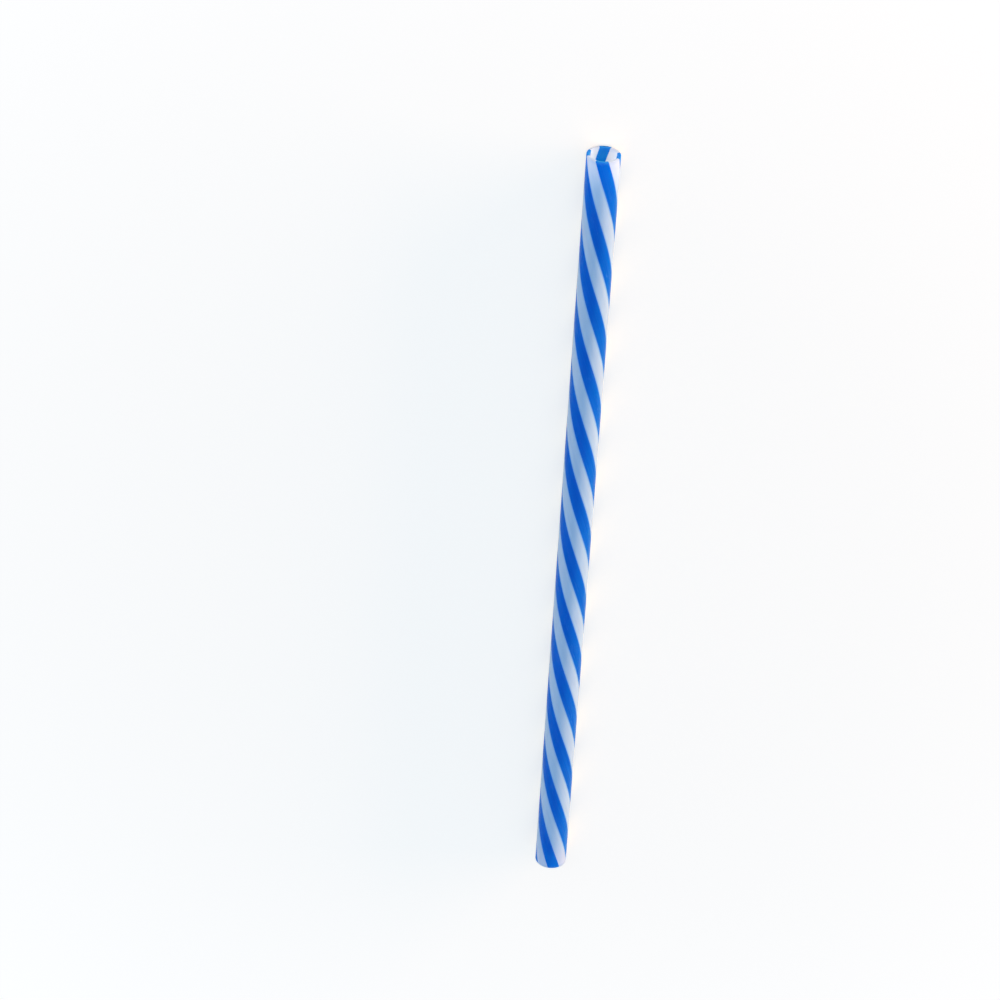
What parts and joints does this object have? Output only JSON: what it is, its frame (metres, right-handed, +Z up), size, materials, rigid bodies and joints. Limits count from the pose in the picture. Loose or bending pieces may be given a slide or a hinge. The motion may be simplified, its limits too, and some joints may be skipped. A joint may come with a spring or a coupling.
{
  "type": "reusable drinking straw",
  "caption": "Straight rigid plastic drinking straw: a thin-walled round tube, open at both ends, with eased lips and blue and milky white stripes that twist along it.",
  "frame": {"origin": "middle of the straw's length, on the surface it lies on, straight below its axis", "axes": "+X along the straw towards the end that is drunk from, +Z up from the surface it lies on"},
  "size_m": [0.184, 0.007, 0.007],
  "materials": {
    "striped_plastic": "smooth and glossy, slightly translucent; blue stripes and milky white stripes of equal width run right through the wall and twist along the tube"
  },
  "bodies": {
    "root": {"straw_tube": "striped_plastic"}
  },
  "joints": []
}
